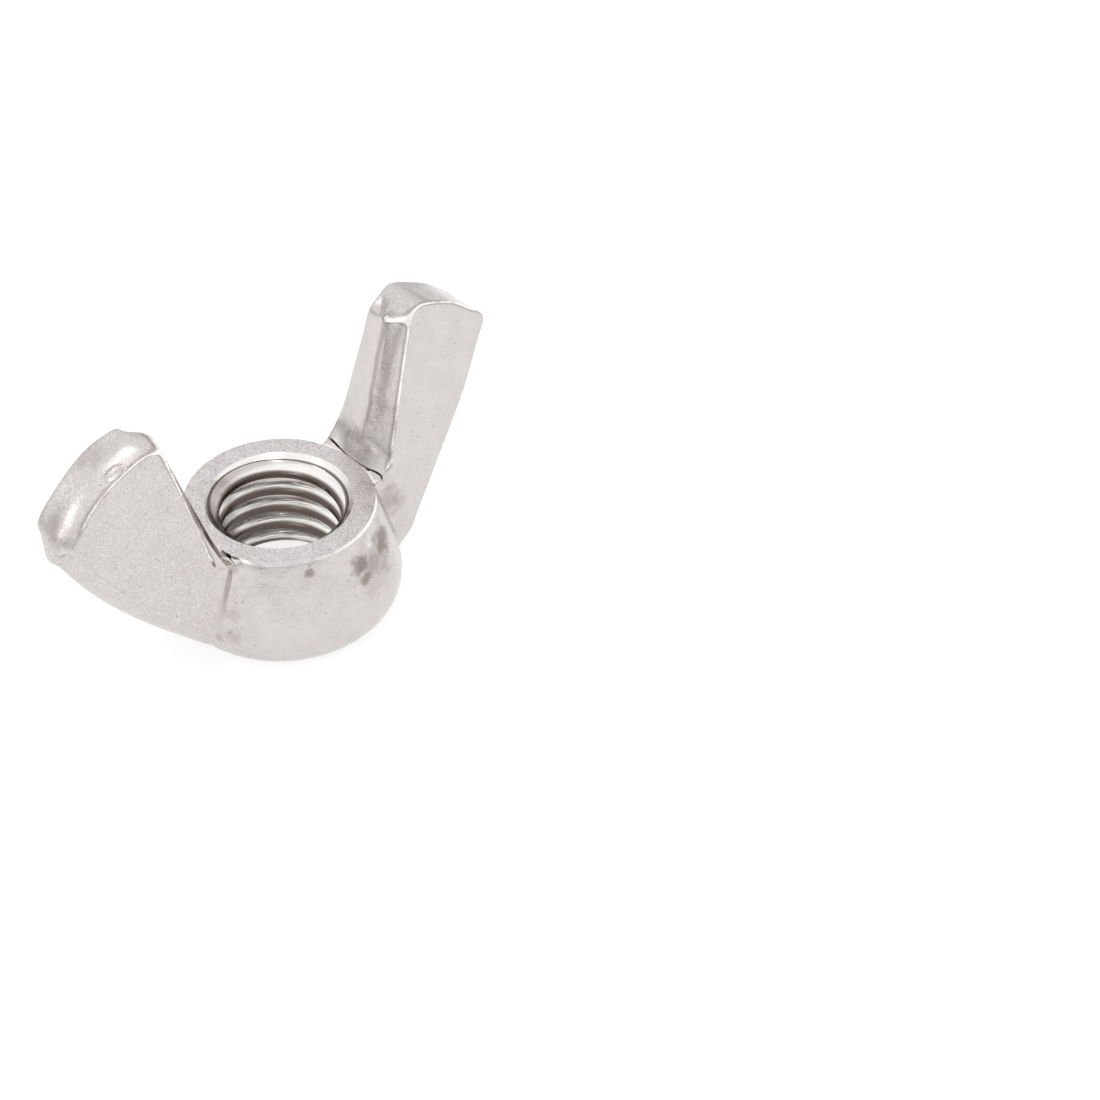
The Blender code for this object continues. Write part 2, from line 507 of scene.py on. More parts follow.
    def bevel_shade(self, wiring: Wiring) -> Socket:
        """Paint shade on the bevel of the left wing's inner edge, deeper towards the root.

        Args:
            wiring: the material's wiring.

        Returns:
            How much painted shade the bevel gets, 0 to 1.
        """
        _, _, z = wiring.axes()
        deeper = wiring.ramp(z, 14.5 * MM, 8.5 * MM, 0.35, 0.85)
        patchy = wiring.ramp(wiring.noise(0.7 * MM, 4.0), 0.30, 0.60, 0.45, 1.0)
        on_bevel = wiring.ramp(wiring.mark(BEVEL), BEVEL_FOOT - 0.04, BEVEL_FOOT + 0.02)
        return wiring.math("MULTIPLY", wiring.math("MULTIPLY", on_bevel, deeper), patchy)

    def glints(self, wiring: Wiring) -> Socket:
        """Scatter fine painted glints, small painted highlights, over the glint patches.

        Args:
            wiring: the material's wiring.

        Returns:
            How bright the glints are, 0 to 1.
        """
        total: Socket | float = 0.0
        for patch in self.painted_glints:
            away = wiring.distance(patch.centre)
            depth = wiring.ramp(away, patch.radius * MM, 0.2 * patch.radius * MM, 0.0, patch.strength)
            total = wiring.math("MAXIMUM", depth, total)
        return wiring.math("MULTIPLY", total, wiring.ramp(wiring.noise(0.13 * MM, 2.0), 0.42, 0.60))

    def sanded(self, wiring: Wiring) -> Socket:
        """Tell where the grain is coarse: on the left wing and on both tips.

        Args:
            wiring: the material's wiring.

        Returns:
            How coarse the grain is, 0 to 1.
        """
        x, _, z = wiring.axes()
        left_wing = wiring.ramp(x, -5.2 * MM, -7.5 * MM, 0.30, 1.0)
        tips = wiring.ramp(z, 13.8 * MM, 15.6 * MM, 0.30, 1.0)
        return wiring.math("MAXIMUM", left_wing, tips)

    def skin_colour(self, wiring: Wiring, grain: Socket, sanded: Socket, pits: Socket) -> Socket:
        """Mix the bare skin: mottled, with dark and light grains, pits, parting line and painted shade on
        the bevel.

        Args:
            wiring: the material's wiring.
            grain: the grain.
            sanded: how coarse it is.
            pits: where the pits are.

        Returns:
            The colour.
        """
        mottled = wiring.ramp(wiring.noise(1.1 * MM, 5.0), 0.35, 0.65)
        tint = wiring.mix(mottled, self.dull, self.bright)
        dark_grain = wiring.math("MULTIPLY", wiring.ramp(grain, 0.52, 0.74, 0.0, 0.34), sanded)
        light_grain = wiring.math("MULTIPLY", wiring.ramp(grain, 0.46, 0.28, 0.0, 0.42), sanded)
        speckled = wiring.mix(dark_grain, tint, self.scale)
        glinting = wiring.mix(light_grain, speckled, self.light_grain_and_highlight)
        pitted = wiring.mix(wiring.math("MULTIPLY", pits, 0.22), glinting, self.scale)
        lined = wiring.mix(wiring.math("MULTIPLY", self.parting(wiring), 0.50), pitted, self.scale)
        # Painted shade on the left wing's bevel.
        return wiring.mix(self.bevel_shade(wiring), lined, self.scale)

    def edged_colour(self, wiring: Wiring, skin: Socket) -> Socket:
        """Paint highlights on the crisp edges and the lip, with a line of painted shadow beside each edge.

        Args:
            wiring: the material's wiring.
            skin: colour of the skin around them.

        Returns:
            The colour.
        """
        rim = wiring.mark(RIM)
        # Painted shadow: a dark line beside each crisp edge.
        shadow = wiring.math("MULTIPLY", wiring.ramp(rim, 0.55, 0.72), wiring.ramp(rim, 0.86, 0.76))
        outlined = wiring.mix(wiring.math("MULTIPLY", shadow, 0.45), skin, self.scale)
        # Painted highlight along each crisp edge, broken up by noise, and on the lip.
        broken = wiring.ramp(wiring.noise(0.5 * MM, 3.0), 0.30, 0.50)
        rim_highlight = wiring.math("MULTIPLY", wiring.ramp(rim, 0.80, 0.90), broken)
        edge = wiring.math("MAXIMUM", rim_highlight, self.lip(wiring))
        return wiring.mix(edge, outlined, self.light_grain_and_highlight)

    def relief(self, wiring: Wiring, grain: Socket, pits: Socket, shade_and_stain_mask: Socket) -> Socket:
        """Stack the relief from broad to fine: waves, peel, grain and pits.

        Args:
            wiring: the material's wiring.
            grain: the grain.
            pits: where the pits are.
            shade_and_stain_mask: where the stains and the painted shade lie, which are rougher.

        Returns:
            The bumped normal.
        """
        rougher = wiring.ramp(shade_and_stain_mask, 0.0, 0.6, 0.35, 1.0)
        peel = wiring.math("MULTIPLY", wiring.noise(self.peel, 3.0), rougher)
        waved = wiring.bumped(wiring.noise(self.wave, 2.0), 0.09 * MM)
        peeled = wiring.bumped(peel, 0.030 * MM, waved)
        grained = wiring.bumped(grain, 0.008 * MM, peeled)
        return wiring.bumped(wiring.math("SUBTRACT", 1.0, pits), 0.02 * MM, grained)

    def made(self) -> bpy.types.Material:
        """Build the node material.

        Returns:
            The finished material.
        """
        wiring = Wiring(self.name)
        grain = wiring.noise(self.grain, 3.0)
        shade_and_stain_mask = self.shade_and_stains(wiring)
        sanded = self.sanded(wiring)
        pits = wiring.ramp(wiring.cells(self.pit), 0.10, 0.04)
        skin = self.skin_colour(wiring, grain, sanded, pits)
        # Painted highlights: the glints on the left wing's tip and under the lip.
        painted_glints = wiring.mix(self.glints(wiring), skin, self.light_grain_and_highlight)
        # Stains, and painted shade and a painted dark reflection, in the skin's dark colour.
        shaded_and_stained = wiring.mix(shade_and_stain_mask, painted_glints, self.scale)
        # Painted highlights along the crisp edges and the lip, with painted shadow lines beside the edges.
        colour = self.edged_colour(wiring, shaded_and_stained)
        gloss = wiring.ramp(wiring.noise(self.peel, 3.0), 0.35, 0.65, *self.roughness)
        matt = wiring.math("ADD", gloss, wiring.math("MULTIPLY", sanded, 0.12))
        roughness = wiring.math("ADD", matt, wiring.math("MULTIPLY", shade_and_stain_mask, 0.10))
        return wiring.finished(colour, roughness, self.relief(wiring, grain, pits, shade_and_stain_mask))


@dataclass(frozen=True)
class FacedRing:
    """A faced surface: matt, with fine turning marks round the thread's axis."""

    name: str = "faced_ring"
    bright: Colour = (0.67, 0.635, 0.63)
    dull: Colour = (0.60, 0.565, 0.56)
    dust: Colour = (0.30, 0.27, 0.26)
    glint: Colour = (0.93, 0.91, 0.90)
    roughness: tuple[float, float] = (0.26, 0.38)
    feed: float = 0.09 * MM

    def made(self) -> bpy.types.Material:
        """Build the node material.

        Returns:
            The finished material.
        """
        wiring = Wiring(self.name)
        turns = wiring.math("MULTIPLY", wiring.radius(), 2 * math.pi / self.feed)
        wander = wiring.math("MULTIPLY", wiring.noise(1.5 * MM), 6.0)
        marks = wiring.math("SINE", wiring.math("ADD", turns, wander))
        mottled = wiring.noise(0.9 * MM, 5.0)
        fine = wiring.noise(0.10 * MM, 3.0)
        tint = wiring.mix(wiring.ramp(mottled, 0.35, 0.65), self.dull, self.bright)
        dusted = wiring.mix(wiring.ramp(fine, 0.50, 0.68, 0.0, 0.50), tint, self.dust)
        colour = wiring.mix(wiring.ramp(fine, 0.46, 0.30, 0.0, 0.55), dusted, self.glint)
        roughness = wiring.ramp(mottled, 0.35, 0.65, *self.roughness)
        turned = wiring.bumped(marks, 0.0007 * MM, wiring.bumped(mottled, 0.012 * MM))
        return wiring.finished(colour, roughness, wiring.bumped(fine, 0.006 * MM, turned))


@dataclass(frozen=True)
class CutThread:
    """Tapped and countersunk metal: glossy, streaked along the cut, with painted shade in the crests, a
    painted highlight near the mouth and a painted shadow line under it.
    """

    name: str = "cut_thread"
    # The bright colour below is the flanks' metal and also a painted highlight near the mouth; the dull
    # colour is painted shade in the crests and in a line under the mouth, and also darkens the streaks.
    bright: Colour = (0.90, 0.87, 0.85)
    dull: Colour = (0.125, 0.098, 0.085)
    grey: Colour = (0.60, 0.565, 0.55)
    roughness: tuple[float, float] = (0.13, 0.22)
    crest: float = 3.40 * MM
    flank: float = 3.60 * MM
    cone_height: float = 6.0 * MM
    lip: float = 6.36 * MM

    def made(self) -> bpy.types.Material:
        """Build the node material.

        Returns:
            The finished material.
        """
        wiring = Wiring(self.name)
        x, y, z = wiring.axes()
        radius = wiring.radius()
        stretched = wiring.tree.nodes.new("ShaderNodeCombineXYZ")
        wiring.join(wiring.math("MULTIPLY", radius, 6.0), stretched.inputs["X"])
        wiring.join(wiring.math("MULTIPLY", z, 7.0), stretched.inputs["Y"])
        turn = wiring.math("ARCTAN2", y, x)
        wiring.join(wiring.math("MULTIPLY", turn, 1.2 * MM), stretched.inputs["Z"])
        streaks = wiring.noise(0.6 * MM, 4.0, stretched.outputs[0])
        # Painted shade: darker towards the crests.
        painted_light_share = wiring.ramp(radius, self.crest, self.flank)
        tint = wiring.mix(painted_light_share, self.dull, self.bright)
        in_cone = wiring.ramp(z, self.cone_height - 0.1 * MM, self.cone_height + 0.1 * MM)
        coned = wiring.mix(in_cone, tint, self.grey)
        # Painted highlight on the top of the countersink, near the mouth.
        lip_highlighted = wiring.mix(wiring.ramp(z, self.lip, self.lip + 0.05 * MM), coned, self.bright)
        # Painted shadow: a dark line just under that highlight.
        over = wiring.ramp(z, self.lip - 0.14 * MM, self.lip - 0.08 * MM)
        below = wiring.ramp(z, self.lip + 0.03 * MM, self.lip - 0.02 * MM)
        line = wiring.math("MULTIPLY", over, below)
        under_lip_shadowed = wiring.mix(wiring.math("MULTIPLY", line, 0.85), lip_highlighted, self.dull)
        colour = wiring.mix(wiring.ramp(streaks, 0.50, 0.78, 0.0, 0.25), under_lip_shadowed, self.dull)
        roughness = wiring.ramp(streaks, 0.35, 0.65, *self.roughness)
        normal = wiring.bumped(streaks, 0.008 * MM)
        return wiring.finished(colour, roughness, normal)


# ---------------------------------------------------------------------------------------------
# Forging
# ---------------------------------------------------------------------------------------------

@dataclass
class Blank:
    """The turned blank of the hub, as a coarse cage that is smoothed later.

    The flank runs through root_rows, heights in millimetres that a wing's faces share, and the
    columns are spaced so that the edge of a wing's root falls on one, at root_angle.
    """

    columns: int = 36
    top_radius: float = 5.26 * MM
    belly_radius: float = 6.61 * MM
    seat_radius: float = 5.61 * MM
    belly_height: float = 1.7 * MM
    height: float = 6.65 * MM
    root_angle: float = math.radians(25.0)
    root_rows: tuple[float, ...] = (1.06, 1.85, 2.8, 3.8, 4.8, 5.75, 6.42)

    def radius_at(self, height: float) -> float:
        """Radius of the hub's flank at a height.

        Args:
            height: height over the seat.

        Returns:
            The radius there.
        """
        if height < self.belly_height:
            start = Vector((self.seat_radius, 0.0))
            control = Vector((self.belly_radius, self.belly_height / 8))
            end = Vector((self.belly_radius, self.belly_height))
        else:
            rise = self.height - self.belly_height
            start = Vector((self.belly_radius, self.belly_height))
            control = Vector((self.belly_radius, self.belly_height + rise / 5))
            end = Vector((self.top_radius, self.height))
        low, high = 0.0, 1.0
        for _ in range(40):
            middle = (low + high) / 2
            if arc(start, control, end, middle).y < height:
                low = middle
            else:
                high = middle
        return arc(start, control, end, low).x

    def profile(self) -> list[Vector]:
        """Half section of the blank from below the seat to above the top face.

        Returns:
            Points of radius and height.
        """
        rows = [Vector((self.seat_radius - 1.5 * MM, -0.5 * MM)),
                Vector((self.seat_radius - 0.35 * MM, -0.42 * MM)),
                Vector((self.radius_at(0.28 * MM), 0.28 * MM))]
        rows += [Vector((self.radius_at(z * MM), z * MM)) for z in self.root_rows]
        rows += [Vector((self.top_radius - 0.10 * MM, self.height + 0.10 * MM)),
                 Vector((self.top_radius - 0.55 * MM, self.height + 0.14 * MM)),
                 Vector((self.top_radius - 2.2 * MM, self.height + 0.14 * MM))]
        return rows

    def spread(self, turn: float) -> float:
        """Turn of a column of the cage, so that the third one is at the edge of a wing's root.

        Args:
            turn: turn in the even spacing, from the nearer wing's middle, 0 to a quarter turn.

        Returns:
            The turn that the column gets.
        """
        even = 2 * math.pi / self.columns
        share = turn / (2 * even)
        if share <= 1.0:
            return share * self.root_angle
        left = (turn - 2 * even) / (math.pi / 2 - 2 * even)
        return self.root_angle + (math.pi / 2 - self.root_angle) * left

    def turned(self) -> bpy.types.Object:
        """Add a cylinder and draw it up ring by ring to the blank's section.

        Returns:
            The blank.
        """
        rows = self.profile()
        depth = rows[1].y - rows[0].y
        clear_selection()
        bpy.ops.mesh.primitive_cylinder_add(
            vertices=self.columns, radius=rows[0].x, depth=depth,
            location=(0, 0, rows[0].y + depth / 2), end_fill_type="NGON")
        blank = added("forged_nut")
        bpy.ops.object.transform_apply(location=True, rotation=True, scale=True)
        bpy.ops.object.mode_set(mode="EDIT")
        mesh = bmesh.from_edit_mesh(blank.data)
        pick(mesh, lambda f: f.normal.z > 0.9)
        bmesh.update_edit_mesh(blank.data)
        for before, after in zip(rows, rows[1:]):
            if before is not rows[0]:
                bpy.ops.mesh.extrude_region_move(
                    TRANSFORM_OT_translate={"value": (0, 0, after.y - before.y)})
            scale = after.x / before.x
            bpy.ops.transform.resize(value=(scale, scale, 1.0), center_override=(0, 0, after.y))
        bpy.ops.object.mode_set(mode="OBJECT")
        for vert in blank.data.vertices:
            radius = math.hypot(vert.co.x, vert.co.y)
            turn = self.spread(math.atan2(abs(vert.co.y), abs(vert.co.x)))
            vert.co.x = math.copysign(radius * math.cos(turn), vert.co.x)
            vert.co.y = math.copysign(radius * math.sin(turn), vert.co.y)
        return blank


@dataclass
class Wing:
    """One finger wing, drawn out of the hub's side.

    The side view is laid out in X, outwards, and Z. The root, tips and underside are its four
    corners, before they are rounded. The inner edge starts at the foot and has a ridge down its
    middle, from which both sides are set back. The cage has rows from the lower edge, 0, to the
    inner edge, columns from the front face, 0, to the rear face, 4, and stations from hub to tip.
    """

    reach: Reach
    foot: Vector
    fillet: float
    front_set_back: float
    rear_set_back: float
    front_flare: float
    top_rise: tuple[float, ...]
    lower_round: float
    lower_pull: float
    lower_bow: float
    front_bevel: float
    front_shoulder: float
    top_crease: float
    tip_shares: tuple[float, ...]
    root: Vector = field(default_factory=lambda: Vector((5.26, 6.45)) * MM)
    upper_tip: Vector = field(default_factory=lambda: Vector((8.15, 15.95)) * MM)
    lower_tip: Vector = field(default_factory=lambda: Vector((14.6, 11.45)) * MM)
    underside: Vector = field(default_factory=lambda: Vector((6.61, 1.06)) * MM)
    tip_crown: float = 1.15 * MM
    underside_crown: float = 0.75 * MM
    corner_round: float = 1.08 * MM
    root_thickness: float = 4.6 * MM
    tip_thickness: float = 2.65 * MM
    lower_set_back: float = 0.95 * MM
    ridge: float = 0.10 * MM
    flash: float = 0.04 * MM
    corner_pull: float = 0.42 * MM
    bulge_growth: float = 2.5
    bevel_head: float = 0.15
    stations: tuple[float, ...] = (0.05, 0.13, 0.27, 0.45, 0.63, 0.81, 0.95, 1.0)
    row_shares: tuple[float, ...] = (0.0, 0.21, 0.38, 0.56, 0.74, 0.89, 1.0)
    column_shares: tuple[float, ...] = (1.0, 0.5, 0.0, 0.5, 1.0)

    @property
    def top_row(self) -> int:
        """The row along the inner edge."""
        return len(self.row_shares) - 1

    def half_thickness(self, point: Vector) -> float:
        """Half the wing's thickness: the faces are drafted.

        Args:
            point: point of the side view.

        Returns:
            Half the thickness there.
        """
        along = (self.upper_tip + self.lower_tip) / 2 - self.root
        share = (point - self.root).dot(along) / along.length_squared
        return (self.root_thickness + (self.tip_thickness - self.root_thickness) * share) / 2

    def inner_point(self, station: float) -> Vector:
        """Point of the inner edge, which is straight and ends below the corner.

        Args:
            station: share of the way from the hub to the tip.

        Returns:
            The point in the side view.
        """
        end = self.upper_tip + (self.root - self.upper_tip).normalized() * self.corner_round
        left = max(0.0, 1.0 - station / self.stations[2]) ** 2
        return self.foot.lerp(end, station) - Vector((self.fillet * left, 0.0))

    def lower_point(self, station: float) -> Vector:
        """Point of the lower edge, on its shallow arc.

        Args:
            station: share of the way from the hub to the tip.

        Returns:
            The point in the side view.
        """
        control = crowned(self.underside, self.lower_tip, self.underside_crown, Vector((1, -1)))
        reach = 1.0 - self.lower_round / (self.lower_tip - self.underside).length
        return arc(self.underside, control, self.lower_tip, station * reach)

    def bulge(self, row: int) -> Vector:
        """How far the tip stands past the straight line between its two ends.

        Args:
            row: row of the cage.

        Returns:
            The offset in the side view.
        """
        if row in (0, self.top_row):
            return Vector((0.0, 0.0))
        control = crowned(self.lower_tip, self.upper_tip, self.tip_crown, Vector((1, 1)))
        on_tip = arc(self.lower_tip, control, self.upper_tip, self.tip_shares[row - 1])
        straight = self.lower_point(1.0).lerp(self.inner_point(1.0), self.row_shares[row])
        return on_tip - straight

    def place(self, station: float, row: int, column: int) -> Vector:
        """Where one corner of the cage goes.

        Args:
            station: share of the way from the hub to the tip.
            row: 0 at the lower edge, up to the inner edge.
            column: 0 at the front face, 4 at the rear face.

        Returns:
            The corner's place.
        """
        inner, lower = self.inner_point(station), self.lower_point(station)
        up = (inner - lower).normalized()
        point = lower.lerp(inner, self.row_shares[row]) + self.bulge(row) * station ** self.bulge_growth
        front = column < 2
        away = self.from_ridge(row, column)
        side = self.column_shares[column]
        if row == self.top_row:
            offset, side = self.edge_offset(station, column)
            point = point + offset
        if row == 0:
            raised = self.lower_set_back * away ** 2.8
            point = point + up * raised * min(1.0, 0.5 + station)
        if station == 1.0 and front and row > 0:
            share = away ** 2 * (0.35 if row == self.top_row else 1.0)
            point = point - Vector((up.y, -up.x)) * self.front_shoulder * share
        breadth = self.half_thickness(point)
        if front:
            breadth += self.front_flare * max(0.0, 1.0 - station / self.stations[3]) ** 2
        if column == 0 and station == 1.0 and row > 0:
            breadth += self.flash
        narrower, shift = self.tip_rounding(station, row, column)
        y = (breadth - narrower) * side * (-1 if front else 1)
        point = point + up * shift
        return Vector((self.reach.value * point.x, y, point.y))

    def from_ridge(self, row: int, column: int) -> float:
        """How far a column of the cage stands from the ridge; a bevel draws column 1 to it.

        Args:
            row: row of the cage.
            column: column of the cage.

        Returns:
            0 at the ridge, 1 at the wing's face.
        """
        if self.front_bevel and row == self.top_row and column < 2:
            return 1.0 if column == 0 else self.bevel_head
        return abs(column - 2) / 2

    def edge_offset(self, station: float, column: int) -> tuple[Vector, float]:
        """Set a point of the inner edge back from the ridge, and raise it at the tip.

        Args:
            station: share of the way from the hub to the tip.
            column: column of the cage.

        Returns:
            The offset in the side view, and the column's share of the half thickness.
        """
        along = (self.upper_tip - self.root).normalized()
        inward = Vector((along.y, -along.x))
        front = column < 2
        set_back = self.front_set_back if front else self.rear_set_back
        taper = 0.25 + 0.75 * station
        side = self.column_shares[column]
        if front and self.front_bevel:
            taper = 2.2 - 1.95 * station
            side = 1.0 if column == 0 else self.front_bevel
        lowered = set_back * self.from_ridge(self.top_row, column) * taper + self.ridge * (column != 2)
        raised = self.top_rise[column] * station ** 6
        return inward * lowered + along * raised, side

    def tip_rounding(self, station: float, row: int, column: int) -> tuple[float, float]:
        """Round the tip's corners, seen along the wing.

        Args:
            station: share of the way from the hub to the tip.
            row: row of the cage.
            column: column of the cage.

        Returns:
            How much narrower the wing is there, and how far the point moves up the tip.
        """
        away = self.from_ridge(row, column)
        rear = column >= 2
        narrower, shift = 0.0, 0.0
        if row == 0 and station > self.stations[-3]:
            share = away * (1.0 if station == 1.0 else 0.4)
            narrower += self.lower_pull * share
            shift += 0.45 * self.lower_pull * share
        if station < 1.0:
            return narrower, shift
        if row < 2:
            shift -= self.lower_bow * (1.0 - away ** 2)
        if row == 1:
            narrower += 0.8 * self.lower_bow * away
        if row == self.top_row - 1 and rear:
            narrower += 0.5 * self.front_shoulder * away
        if row == self.top_row and rear:
            narrower += self.corner_pull * away
            shift -= 0.8 * self.corner_pull * away
        return narrower, shift

    def drawn_out(self, blank: bpy.types.Object, hub: Blank) -> None:
        """Pull the hub's side faces out through every station to the tip.

        Args:
            blank: the turned blank.
            hub: its sizes.
        """
        heights = [height * MM for height in hub.root_rows]
        make_active(blank)
        bpy.ops.object.mode_set(mode="EDIT")
        mesh = bmesh.from_edit_mesh(blank.data)

        def on_root(face: bmesh.types.BMFace) -> bool:
            """Whether the wing grows from a face of the blank.

            Args:
                face: the face.

            Returns:
                True if it does.
            """
            middle = face.calc_center_median()
            turn = abs(math.atan2(middle.y, self.reach.value * middle.x))
            tall = heights[0] < middle.z < heights[-1]
            return tall and turn < hub.root_angle and face.normal.z < 0.8

        row_of = mesh.verts.layers.int.get("row") or mesh.verts.layers.int.new("row")
        column_of = mesh.verts.layers.int.get("column") or mesh.verts.layers.int.new("column")
        pick(mesh, on_root)
        step = hub.root_angle / 2
        for vert in mesh.verts:
            if not vert.select:
                continue
            turn = math.atan2(vert.co.y, self.reach.value * vert.co.x)
            vert[column_of] = 2 + round(turn / step)
            vert[row_of] = min(range(len(heights)), key=lambda i: abs(heights[i] - vert.co.z))
        bmesh.update_edit_mesh(blank.data)
        for station in self.stations:
            bpy.ops.mesh.extrude_region()
            mesh = bmesh.from_edit_mesh(blank.data)
            row_of = mesh.verts.layers.int["row"]
            column_of = mesh.verts.layers.int["column"]
            for vert in mesh.verts:
                if vert.select:
                    vert.co = self.place(station, vert[row_of], vert[column_of])
            bmesh.update_edit_mesh(blank.data)
        bpy.ops.mesh.select_all(action="SELECT")
        bpy.ops.mesh.normals_make_consistent(inside=False)
        bpy.ops.object.mode_set(mode="OBJECT")
        self.creased(blank)

    def creased(self, blank: bpy.types.Object) -> None:
        """Crease the edges that the die left crisp, round the tip and along the inner edge.

        Args:
            blank: the cage.
        """
        bpy.ops.object.mode_set(mode="EDIT")
        mesh = bmesh.from_edit_mesh(blank.data)
        edge_layers, vert_layers = mesh.edges.layers.float, mesh.verts.layers.float
        crease = edge_layers.get("crease_edge") or edge_layers.new("crease_edge")
        point = vert_layers.get("crease_vert") or vert_layers.new("crease_vert")
        rim = vert_layers.get(RIM) or vert_layers.new(RIM)
        bevel = vert_layers.get(BEVEL) or vert_layers.new(BEVEL)
        row_of = mesh.verts.layers.int["row"]
        column_of = mesh.verts.layers.int["column"]
        for edge in mesh.edges:
            corner = self.corner_at(edge, row_of, column_of)
            if corner is None:
                continue
            edge[crease] = corner.value
            # Mark the edge's vertices for its painted highlight and painted shadow line.
            if corner is not Corner.SOFT:
                for vert in edge.verts:
                    vert[rim] = ON_RIM if vert[row_of] > 1 else BESIDE_RIM
        for vert in mesh.verts:
            if self.reach.value * vert.co.x < self.root.x * 0.9 or vert[row_of] != self.top_row:
                continue
            # Mark the left wing's bevel for its painted shade.
            if self.front_bevel and vert[column_of] < 2:
                vert[bevel] = ON_BEVEL if vert[column_of] else BEVEL_FOOT
            if vert[column_of] == 0 and self.at_tip(vert, self.top_row, 0):
                vert[point] = self.top_crease
        bmesh.update_edit_mesh(blank.data)
        bpy.ops.object.mode_set(mode="OBJECT")

    def at_tip(self, vert: bmesh.types.BMVert, row: int, column: int) -> bool:
        """Whether a corner of the cage lies on the tip.

        Args:
            vert: the corner.
            row: its row.
            column: its column.

        Returns:
            True if it does.
        """
        return (vert.co - self.place(1.0, row, column)).length < 0.01 * MM

    def corner_at(self, edge: bmesh.types.BMEdge, row_of: Layer, column_of: Layer) -> Corner | None:
        """How crisp an edge of the cage is.

        Args:
            edge: the edge.
            row_of: the cage's rows.
            column_of: the cage's columns.

        Returns:
            The corner, or None where the surface runs on smoothly.
        """
        ends = edge.verts
        if any(self.reach.value * vert.co.x < self.root.x for vert in ends):
            return None
        rows = [vert[row_of] for vert in ends]
        columns = [vert[column_of] for vert in ends]
        if all(self.at_tip(*end) for end in zip(ends, rows, columns)):
            front = columns == [0, 0]
            rear = columns == [4, 4]
            top = rows == [self.top_row, self.top_row]
            bottom = rows == [0, 0]
            if front and min(rows) > 0:
                return Corner.CRISP
            if top and min(columns) < 2:
                return Corner.BROKEN
            return Corner.SOFT if front or rear or top or bottom else None
        along = rows == [self.top_row, self.top_row] and columns in ([0, 0], [4, 4])
        if along and max(vert.co.z for vert in ends) > self.root.y + 1.2 * MM:
            return Corner.CRISP if columns[0] == 0 else Corner.SOFT
        return None


@dataclass
class Forging:
    """The hub with both wings, smoothed to the shape that leaves the die."""

    hub: Blank = field(default_factory=Blank)
    wings: tuple[Wing, ...] = (
        Wing(Reach.RIGHT, foot=Vector((5.92, 6.90)) * MM, fillet=0.50 * MM,
             front_set_back=0.40 * MM, rear_set_back=0.12 * MM, front_flare=0.30 * MM,
             top_rise=(0.45 * MM, 0.16 * MM, 0.0, 0.16 * MM, 0.45 * MM), lower_round=1.08 * MM,
             lower_pull=0.32 * MM, lower_bow=0.0, front_bevel=0.0,
             front_shoulder=0.0, top_crease=0.0,
             tip_shares=(0.14, 0.32, 0.52, 0.72, 0.89)),
        Wing(Reach.LEFT, foot=Vector((5.12, 6.60)) * MM, fillet=0.12 * MM,
             front_set_back=0.42 * MM, rear_set_back=0.45 * MM, front_flare=0.10 * MM,
             top_rise=(0.42 * MM, 0.58 * MM, 0.66 * MM, 0.88 * MM, 1.10 * MM), lower_round=0.50 * MM,
             lower_pull=0.62 * MM, lower_bow=0.12 * MM, front_bevel=0.80,
             front_shoulder=0.52 * MM, top_crease=0.90,
             tip_shares=(0.09, 0.30, 0.52, 0.72, 0.89)),
    )
    smoothing: int = 3
    fittings: int = 4

    def forged(self) -> bpy.types.Object:
        """Turn the blank, draw out the wings and smooth the whole.

        Returns:
            The forging.
        """
        blank = self.hub.turned()
        for wing in self.wings:
            wing.drawn_out(blank, self.hub)
        smooth = blank.modifiers.new("smooth", "SUBSURF")
        smooth.levels = self.smoothing
        smooth.render_levels = self.smoothing
        self.fitted(blank)
        apply_modifier(blank, "smooth")
        return blank

    def fitted(self, blank: bpy.types.Object) -> None:
        """Move the cage out until the smoothed surface passes through the drawn places.

        Args:
            blank: the cage, with its smoothing still live.
        """
        drawn = [vert.co.copy() for vert in blank.data.vertices]
        for _ in range(self.fittings):
            blank.data.update()
            depsgraph = bpy.context.evaluated_depsgraph_get()
            depsgraph.update()
            smoothed = blank.evaluated_get(depsgraph).data
            reached = [smoothed.vertices[i].co.copy() for i in range(len(drawn))]
            for vert, wanted, now in zip(blank.data.vertices, drawn, reached):
                vert.co += wanted - now
            blank.update_tag()


# ---------------------------------------------------------------------------------------------
# Machining
# ---------------------------------------------------------------------------------------------

@dataclass
class Cutter:
    """A turned cutter: its half section is spun about the thread's axis, then cut off at flats."""

    name: str
    section: list[tuple[float, float]]
    finish: bpy.types.Material
    flats: tuple[float, ...] = ()
    steps: int = 144

    def ground(self) -> bpy.types.Object:
        """Spin the section into a closed cutter.

        Returns:
            The cutter, dressed in the finish that it leaves.
        """
        clear_selection()
        bpy.ops.mesh.primitive_circle_add(vertices=len(self.section), radius=MM, location=(0, 0, 0))
        cutter = added(self.name)
        for vert, (radius, height) in zip(cutter.data.vertices, self.section):
            vert.co = (radius, 0.0, height)
        bpy.ops.object.mode_set(mode="EDIT")
        bpy.ops.mesh.select_all(action="SELECT")
        bpy.ops.mesh.spin(steps=self.steps, angle=2 * math.pi, center=(0, 0, 0), axis=(0, 0, 1))
        bpy.ops.mesh.select_all(action="SELECT")
        bpy.ops.mesh.remove_doubles(threshold=0.0005 * MM)
        bpy.ops.mesh.dissolve_degenerate(threshold=0.0002 * MM)
        bpy.ops.mesh.select_all(action="SELECT")
        bpy.ops.mesh.normals_make_consistent(inside=False)
        bpy.ops.object.mode_set(mode="OBJECT")
        if self.flats:
            for vert in cutter.data.vertices:
                vert.co.x = max(min(vert.co.x, max(self.flats)), min(self.flats))
        cutter.data.materials.append(self.finish)
        return cutter


